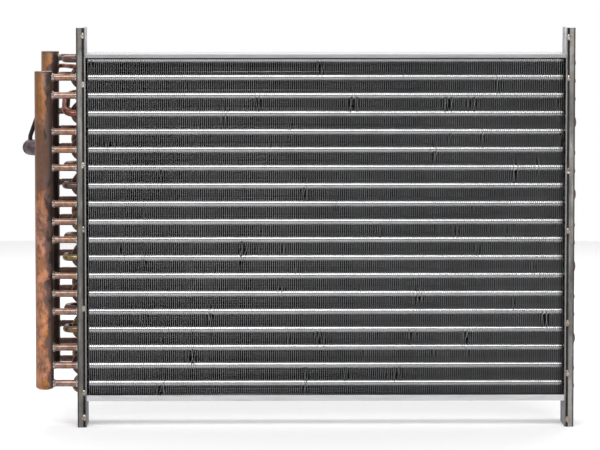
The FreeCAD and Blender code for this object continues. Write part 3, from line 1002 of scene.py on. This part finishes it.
class COIL_OT_pipes(bpy.types.Operator):
    """Build the gas and liquid pipes, the thin line with its reducer, and the plug"""
    bl_idname = "coil.pipes"
    bl_label = "Pipes"

    def gas_pipe(self, copper):
        """The pipe leaves the rear header to the left, turns back and ends open."""
        facets = 40
        turn_steps = 12
        radius = (gas_high.z - gas_low.z) / 2
        height = (gas_low.z + gas_high.z) / 2
        row_y = header_places[5].y
        header_side = header_places[5].x - header_radius
        corner = header_side - gas_low.x - radius
        bm = bmesh.new()
        first = ring(bm, Vector((header_side + gas_root, row_y, height)), leftward, radius, facets)
        last = extend(bm, first, leftward * gas_root)
        last = turn(bm, last, Vector((header_side, row_y + corner, height)), -upward, math.pi / 2,
                    turn_steps)
        last = extend(bm, last, backward * (gas_high.y - row_y - corner))
        close(bm, first, open_end(bm, last, backward, radius, gas_wall))
        piece("round_gas_pipe", bm, copper, ("gas_pipe",))

    def liquid_pipe(self, copper):
        """The straight pipe runs back from the front header's foot and ends open."""
        facets = 36
        radius = (liquid_high.z - liquid_low.z) / 2
        middle = (liquid_low + liquid_high) / 2
        start = Vector((middle.x, liquid_low.y - liquid_root, middle.z))
        bm = bmesh.new()
        first = ring(bm, start, backward, radius, facets)
        last = extend(bm, first, backward * (liquid_high.y - start.y))
        close(bm, first, open_end(bm, last, backward, radius, liquid_wall))
        piece("round_liquid_pipe", bm, copper, ("liquid_pipe",))

    def line_and_reducer(self, copper):
        """The line steps down from its tube, runs behind the rear header and lands on the gas pipe."""
        wide_length = 0.0065
        narrow_from = (0.0095, 0.0042)
        narrow_radius = 0.0036
        bm = bmesh.new()
        radius = (reducer_high.z - reducer_low.z) / 2
        start = tube_end(left_web, *line_tube)
        length = reducer_high.x - reducer_low.x
        profile = [(0, radius), (wide_length, radius), narrow_from, (length, narrow_radius)]
        turned(bm, start, leftward, profile, sizes().round_steps)
        piece("round_line_reducer", bm, copper, ("line_reducer",))
        x = reducer_low.x
        behind = line_high.y - line_radius
        gas_x = gas_low.x + (gas_high.z - gas_low.z) / 2
        land = gas_high.z
        route = [
            (x, start.y, start.z), (x - 0.004, start.y, start.z), (x - 0.014, start.y + 0.020, start.z),
            (x - 0.020, behind, start.z), (x - 0.034, behind, start.z),
            (gas_x + 0.001, behind, land + 0.008), (gas_x, behind, land + 0.004), (gas_x, behind, land),
        ]
        piece("round_thin_line", drawn_line(route), line_finish(), ("thin_line",))

    def plug(self, copper):
        """The plug closes one tube end on the right with a rounded tip."""
        rounding = ((0.0014, 1.0), (0.0003, 0.8), (0.0, 0.4))
        depth = plug_high.x - plug_low.x
        profile = [(0, tube_radius)]
        profile += [(depth - from_tip, tube_radius * share) for from_tip, share in rounding]
        bm = bmesh.new()
        turned(bm, tube_end(right_web, *plugged_tube), -leftward, profile, sizes().round_steps)
        piece("round_tube_plug", bm, copper, ("tube_plug",))

    def execute(self, context):
        copper = copper_finish("Pipe copper", colours().pipe, tone(colours().pipe, 0.5), amount=0.6,
                               roughness=0.3)
        self.gas_pipe(copper)
        self.liquid_pipe(copper)
        self.line_and_reducer(copper)
        self.plug(copper)
        return {"FINISHED"}


class COIL_OT_welds(bpy.types.Operator):
    """Build the tack welds in the grooves of the side plates"""
    bl_idname = "coil.welds"
    bl_label = "Tack welds"

    def execute(self, context):
        lumps_per_unit = 420
        lump_height = 0.11
        shrink = 0.09
        finish = weld_finish()
        for side, node in ((-1, "left_tack_welds"), (1, "right_tack_welds")):
            low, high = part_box(node)
            half = Vector(((high.x - low.x) / 2, high.y - low.y, sizes().weld_length / 2))
            bm = bmesh.new()
            for order, height in enumerate(weld_heights[side]):
                made = bmesh.ops.create_icosphere(bm, subdivisions=4, radius=1.0)
                bmesh.ops.scale(bm, verts=made["verts"], vec=half)
                for vert in made["verts"]:
                    lump = noise.noise(vert.co * lumps_per_unit + Vector((order * 9, side * 5, 0)))
                    vert.co *= 1 + lump_height * lump - shrink
                middle = Vector(((low.x + high.x) / 2, high.y, height))
                bmesh.ops.translate(bm, verts=made["verts"], vec=middle)
            piece("round_" + node, bm, finish, (node,))
        return {"FINISHED"}


class COIL_OT_plates(bpy.types.Operator):
    """Finish the side plates and covers, whose solids stay as they are"""
    bl_idname = "coil.plates"
    bl_label = "Plates and covers"

    def execute(self, context):
        # Painted light and shade: the top cover drawn darker and the bottom cover paler than the same sheet
        cover_painted_light_shares = {"top": 0.72, "bottom": 1.22}
        for side, name in ((-1, "left"), (1, "right")):
            refinish(name + "_channel", channel_finish("Channel " + name, side))
            refinish(name + "_inner_sheet", inner_sheet_finish("Inner sheet " + name))
        for name, share in cover_painted_light_shares.items():
            finish = cover_finish(name.capitalize() + " cover sheet", tone(colours().cover, share))
            refinish(name + "_cover", finish)
        return {"FINISHED"}


class COIL_OT_stage(bpy.types.Operator):
    """Set the pale floor, the dark curtain, the soft lamps, the world and the camera"""
    bl_idname = "coil.stage"
    bl_label = "Stage"

    def seen(self, tree):
        """1 for the rays that show the background: from the camera, mirrored or passed through."""
        path = tree.nodes.new("ShaderNodeLightPath")
        direct = maths(tree, "MAXIMUM", path.outputs["Is Camera Ray"], path.outputs["Is Glossy Ray"])
        return maths(tree, "MAXIMUM", direct, path.outputs["Is Transmission Ray"])

    def backdrop(self, name, bm, colour, roughness):
        """Makes a plain backdrop from a finished mesh, and gives it and its shader back."""
        mesh = bpy.data.meshes.new(name)
        bm.to_mesh(mesh)
        bm.free()
        obj = bpy.data.objects.new(name, mesh)
        bpy.context.collection.objects.link(obj)
        material = bpy.data.materials.new(name.replace("_", " ").capitalize())
        material.use_nodes = True
        shader = material.node_tree.nodes["Principled BSDF"]
        shader.inputs["Base Color"].default_value = opaque(colour)
        shader.inputs["Roughness"].default_value = roughness
        mesh.materials.append(material)
        return obj, shader

    def floor(self):
        bm = bmesh.new()
        bmesh.ops.create_circle(bm, cap_ends=True, segments=96, radius=floor_radius)
        shader = self.backdrop("floor", bm, colours().floor, 0.9)[1]
        shader.inputs["Specular IOR Level"].default_value = 0.0
        shader.inputs["Emission Color"].default_value = (1, 1, 1, 1)
        tree = shader.id_data
        feed(tree, shader.inputs["Emission Strength"], maths(tree, "MULTIPLY", self.seen(tree), floor_glow))

    def curtain(self):
        """A dark curtain round the front that only mirrored rays meet, so that metal keeps its contrast."""
        bm = bmesh.new()
        made = bmesh.ops.create_circle(bm, segments=64, radius=curtain_radius)
        behind = [vert for vert in made["verts"] if vert.co.y > 0.01]
        bmesh.ops.delete(bm, geom=behind, context="VERTS")
        extend(bm, bm.edges[:], Vector((0, 0, curtain_height)))
        obj = self.backdrop("dark_curtain", bm, (0.06, 0.06, 0.062), 1.0)[0]
        obj.visible_camera = False
        obj.visible_diffuse = False
        obj.visible_shadow = False

    def lamp(self, name, place, size, power):
        data = bpy.data.lights.new(name, "AREA")
        data.shape = "RECTANGLE"
        data.size, data.size_y = size
        data.energy = power
        obj = bpy.data.objects.new(name, data)
        bpy.context.collection.objects.link(obj)
        obj.location = place
        obj.rotation_euler = (Vector(lamp_target) - Vector(place)).to_track_quat("-Z", "Y").to_euler()

    def world(self):
        """A room that is dark in front and pale behind for the light, and white where it is seen."""
        dark = (0.10, 0.10, 0.105)
        pale = (0.95, 0.95, 0.97)
        steepness = 1.2
        paleness_at_side = 0.35
        world = bpy.data.worlds.new("Studio")
        bpy.context.scene.world = world
        world.use_nodes = True
        tree = world.node_tree
        room = tree.nodes["Background"]
        way = split_axes(tree, tree.nodes.new("ShaderNodeTexCoord").outputs["Generated"])
        behind = maths(tree, "MULTIPLY_ADD", way["Y"], steepness, paleness_at_side, clamp=True)
        feed(tree, room.inputs["Color"], laid_over(tree, behind, opaque(dark), opaque(pale)))
        room.inputs["Strength"].default_value = room_strength
        white = tree.nodes.new("ShaderNodeBackground")
        white.inputs["Color"].default_value = (1, 1, 1, 1)
        mix = tree.nodes.new("ShaderNodeMixShader")
        feed(tree, mix.inputs["Fac"], self.seen(tree))
        feed(tree, mix.inputs[1], room.outputs[0])
        feed(tree, mix.inputs[2], white.outputs[0])
        feed(tree, tree.nodes["World Output"].inputs["Surface"], mix.outputs[0])

    def camera(self):
        data = bpy.data.cameras.new("Camera")
        data.sensor_width = 36.0
        data.lens = camera_lens
        data.clip_end = 200.0
        obj = bpy.data.objects.new("Camera", data)
        obj.location = camera_place
        obj.rotation_euler = (camera_tilt, 0, camera_turn)
        bpy.context.collection.objects.link(obj)
        bpy.context.scene.camera = obj

    def execute(self, context):
        self.floor()
        self.curtain()
        for lamp in lamps:
            self.lamp(*lamp)
        self.world()
        self.camera()
        bpy.context.scene.view_settings.view_transform = "Standard"
        return {"FINISHED"}


operators = (COIL_OT_fins, COIL_OT_collars, COIL_OT_bends, COIL_OT_stubs, COIL_OT_headers, COIL_OT_pipes,
             COIL_OT_welds, COIL_OT_plates, COIL_OT_stage)


class COIL_PT_sidebar(bpy.types.Panel):
    """The coil's sizes, colours and pieces"""
    bl_idname = "COIL_PT_sidebar"
    bl_label = "Coil"
    bl_space_type = "VIEW_3D"
    bl_region_type = "UI"
    bl_category = "Coil"

    def draw(self, context):
        for group in (context.scene.coil_sizes, context.scene.coil_colours):
            box = self.layout.box()
            for name in group.__annotations__:
                box.prop(group, name)
        for operator in operators:
            self.layout.operator(operator.bl_idname)


classes = (CoilSizes, CoilColours) + operators + (COIL_PT_sidebar,)


def register():
    for item in classes:
        bpy.utils.register_class(item)
    bpy.types.Scene.coil_sizes = PointerProperty(type=CoilSizes)
    bpy.types.Scene.coil_colours = PointerProperty(type=CoilColours)


def unregister():
    del bpy.types.Scene.coil_colours
    del bpy.types.Scene.coil_sizes
    for item in reversed(classes):
        bpy.utils.unregister_class(item)


def main():
    register()
    for operator in operators:
        area, name = operator.bl_idname.split(".")
        if getattr(getattr(bpy.ops, area), name)() != {"FINISHED"}:
            raise RuntimeError(operator.bl_label + " didn't finish")


if __name__ == "__main__":
    main()
